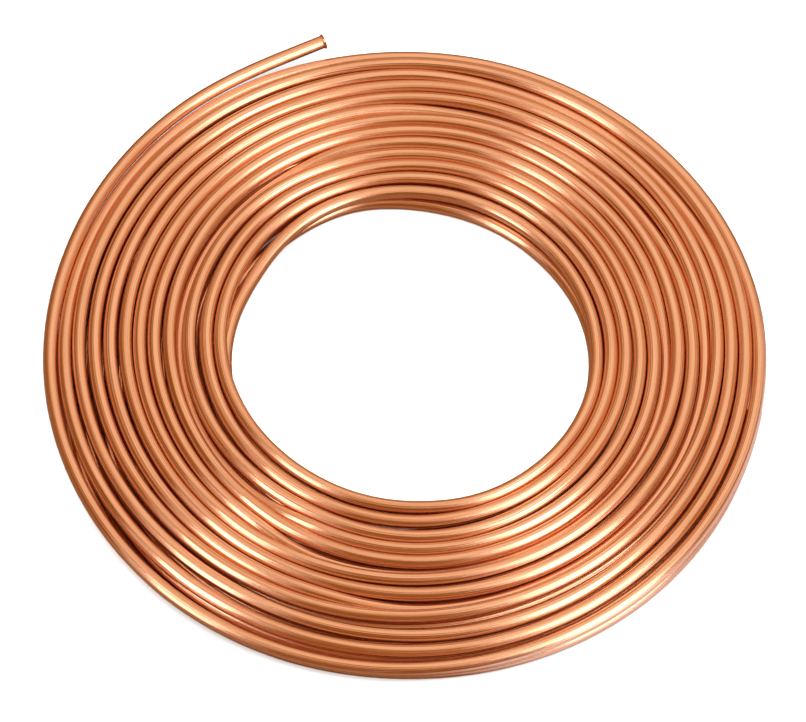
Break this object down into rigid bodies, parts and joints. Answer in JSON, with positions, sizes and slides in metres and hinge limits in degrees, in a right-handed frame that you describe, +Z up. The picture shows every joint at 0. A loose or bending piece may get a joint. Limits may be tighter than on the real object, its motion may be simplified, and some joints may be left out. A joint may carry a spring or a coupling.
{
  "type": "copper tube coil",
  "caption": "Flat two-layer pancake coil of soft bright copper tube, its free end springing clear of the outer turn with a small flare.",
  "frame": {"origin": "middle of the coil's footprint on the floor, free end included", "axes": "+Z up, along the coil's own axis, out of its upper face; the free end springs clear on the +Y side and points towards +X"},
  "size_m": [0.5016, 0.5154, 0.0201],
  "materials": {
    "bright_copper": "bright drawn copper, clean, with faint drawing lines"
  },
  "bodies": {
    "root": {"coiled_tube": "bright_copper"}
  },
  "joints": []
}
